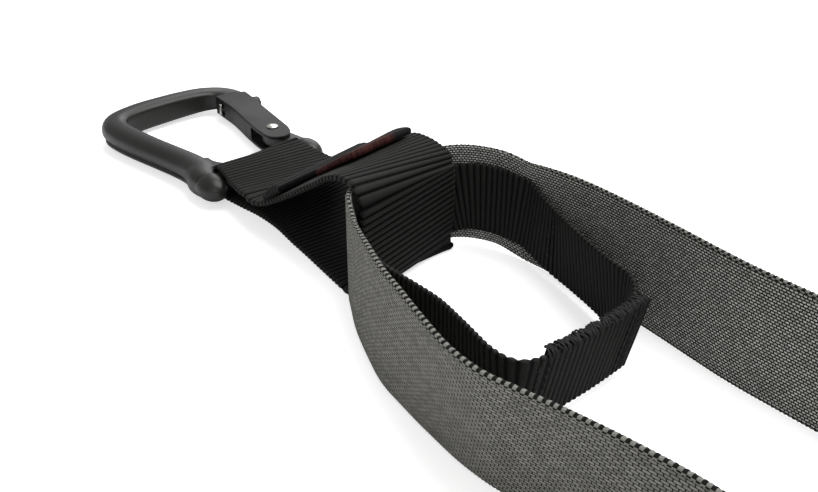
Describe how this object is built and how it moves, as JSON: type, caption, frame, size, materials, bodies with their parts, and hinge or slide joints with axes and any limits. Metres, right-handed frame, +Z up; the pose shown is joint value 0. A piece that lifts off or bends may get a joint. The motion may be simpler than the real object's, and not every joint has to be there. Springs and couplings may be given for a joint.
{
  "type": "suspension trainer",
  "caption": "Webbing suspension trainer laid out flat: locking carabiner, wide equaliser loop, adjustable straps with cam buckles, and handles with foot cradles.",
  "frame": {"origin": "centre of the bounding box in plan, at the surface the trainer lies on", "axes": "+X from the carabiner towards the handles, +Y towards the carabiner's gate side, +Z up from the surface"},
  "size_m": [0.8036, 0.3806, 0.0422],
  "materials": {
    "grey_webbing": "woven polyester webbing",
    "black_webbing": "woven nylon webbing with ribs",
    "label": "plain woven tab",
    "forged_alloy": "charcoal satin, forged",
    "gate_alloy": "charcoal satin, folded",
    "bright_rivet": "bright",
    "spring_steel": "drawn wire",
    "plated_steel": "black plated steel",
    "grip_rubber": "matt rubber",
    "grip_plastic": "moulded plastic"
  },
  "bodies": {
    "webbing": {"equalizer_loop": "black_webbing", "seam_fold": "black_webbing", "label_tab": "label", "locking_loop": "black_webbing", "main_strap": "grey_webbing", "strap_roll_left": "grey_webbing", "strap_roll_right": "grey_webbing", "strap_tail_left": "grey_webbing", "strap_tail_right": "grey_webbing", "buckle_frame_left": "plated_steel", "buckle_frame_right": "plated_steel", "cam_pin_left": "bright_rivet", "cam_pin_right": "bright_rivet", "cam_spring_left": "spring_steel", "cam_spring_right": "spring_steel"},
    "carabiner": {"carabiner_body": "forged_alloy", "gate_pivot_rivet": "bright_rivet"},
    "gate": {"gate": "gate_alloy", "gate_spring": "spring_steel"},
    "lock": {"lock_knob": "plated_steel", "knob_rivet": "bright_rivet"},
    "cam_left": {"buckle_cam_left": "plated_steel"},
    "cam_right": {"buckle_cam_right": "plated_steel"},
    "ring_left": {"handle_ring_left": "plated_steel"},
    "ring_right": {"handle_ring_right": "plated_steel"},
    "handle_left": {"ring_tab_left": "black_webbing", "handle_webbing_left": "black_webbing", "foot_cradle_left": "black_webbing"},
    "handle_right": {"ring_tab_right": "black_webbing", "handle_webbing_right": "black_webbing", "foot_cradle_right": "black_webbing"},
    "grip_left": {"grip_core_left": "grip_plastic", "grip_cover_left": "grip_rubber", "grip_cap_inner_left": "grip_plastic", "grip_cap_outer_left": "grip_plastic"},
    "grip_right": {"grip_core_right": "grip_plastic", "grip_cover_right": "grip_rubber", "grip_cap_inner_right": "grip_plastic", "grip_cap_outer_right": "grip_plastic"}
  },
  "joints": [
    {"name": "carabiner_swing", "type": "hinge", "parent": "webbing", "child": "carabiner", "pos_m": [-0.3051, 0.005, 0.00689], "axis": [-0.1736, 0.9848, 0], "range_deg": [-90, 90]},
    {"name": "gate_open", "type": "hinge", "parent": "carabiner", "child": "gate", "pos_m": [-0.33309, 0.02732, 0.00689], "axis": [0, 0, 1], "range_deg": [0, 38], "stiffness_Nm_per_rad": 0.02, "springref_deg": -17.19},
    {"name": "lock_turn", "type": "hinge", "parent": "carabiner", "child": "lock", "pos_m": [-0.37666, 0.03346, 0.00689], "axis": [0.1396, 0.9902, 0], "range_deg": [0, 90]},
    {"name": "cam_left_lift", "type": "hinge", "parent": "webbing", "child": "cam_left", "pos_m": [0.1169, 0.1155, 0.01719], "axis": [0, 1, 0], "range_deg": [0, 45], "stiffness_Nm_per_rad": 0.05, "springref_deg": -11.46},
    {"name": "cam_right_lift", "type": "hinge", "parent": "webbing", "child": "cam_right", "pos_m": [0.1169, -0.1155, 0.01719], "axis": [0, 1, 0], "range_deg": [0, 45], "stiffness_Nm_per_rad": 0.05, "springref_deg": -11.46},
    {"name": "ring_left_swing", "type": "hinge", "parent": "webbing", "child": "ring_left", "pos_m": [0.1889, 0.1155, 0.00619], "axis": [0, 1, 0], "range_deg": [-75, 75]},
    {"name": "ring_right_swing", "type": "hinge", "parent": "webbing", "child": "ring_right", "pos_m": [0.1889, -0.1155, 0.00619], "axis": [0, 1, 0], "range_deg": [-75, 75]},
    {"name": "handle_left_swing", "type": "hinge", "parent": "ring_left", "child": "handle_left", "pos_m": [0.2229, 0.1155, 0.00619], "axis": [0, 1, 0], "range_deg": [-75, 75]},
    {"name": "handle_right_swing", "type": "hinge", "parent": "ring_right", "child": "handle_right", "pos_m": [0.2229, -0.1155, 0.00619], "axis": [0, 1, 0], "range_deg": [-75, 75]},
    {"name": "grip_left_spin", "type": "hinge", "parent": "handle_left", "child": "grip_left", "pos_m": [0.3289, 0.1155, 0.01859], "axis": [0, 1, 0], "continuous": true},
    {"name": "grip_right_spin", "type": "hinge", "parent": "handle_right", "child": "grip_right", "pos_m": [0.3289, -0.1155, 0.01859], "axis": [0, 1, 0], "continuous": true}
  ]
}
